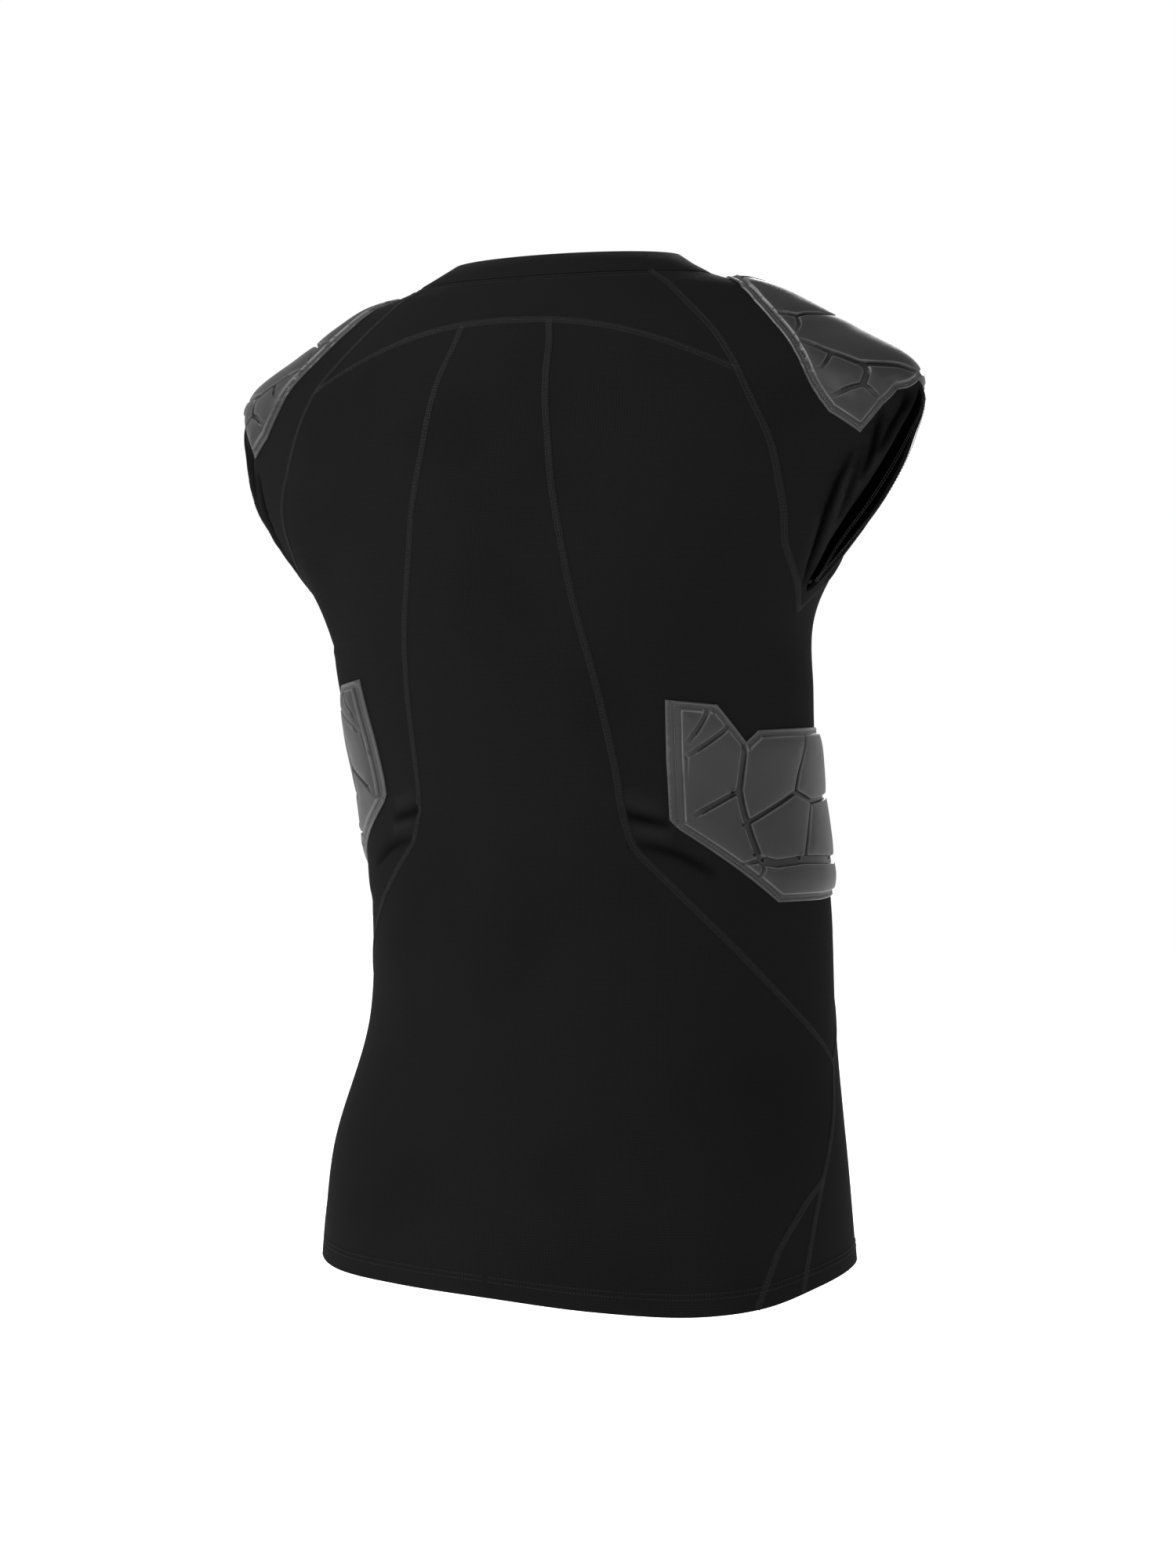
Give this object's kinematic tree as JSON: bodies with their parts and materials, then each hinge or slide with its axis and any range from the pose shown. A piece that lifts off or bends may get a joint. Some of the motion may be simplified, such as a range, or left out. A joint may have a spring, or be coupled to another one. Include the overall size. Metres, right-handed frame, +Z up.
{
  "type": "padded compression shirt",
  "caption": "Close-fitting crew-neck sports shirt with raglan cap sleeves, sewn stretch panels and moulded pads over the shoulders and lower ribs, held open as worn.",
  "frame": {"origin": "between the shoulders, on the wearer's own upright axis, 0.62 m above the hem at the side, where the wearer holds the shirt up", "axes": "+Z up along the wearer, -Y the way the wearer faces, +X towards the wearer's left"},
  "size_m": [0.513, 0.2928, 0.6851],
  "materials": {
    "cloth": "matte black stretch knit with a faint sheen",
    "band": "matte black stretch knit, folded double",
    "pad": "satin dark grey moulded film over foam"
  },
  "bodies": {
    "root": {"neckband": "band", "back_yoke": "cloth", "centre_back": "cloth", "front": "cloth", "side_panel_right": "cloth", "side_panel_left": "cloth", "sleeve_right": "cloth", "sleeve_left": "cloth", "shoulder_pad_right": "pad", "shoulder_pad_left": "pad", "rib_pad_right": "pad", "rib_pad_left": "pad", "hem_gusset_right": "cloth", "hem_gusset_left": "cloth"}
  },
  "joints": []
}
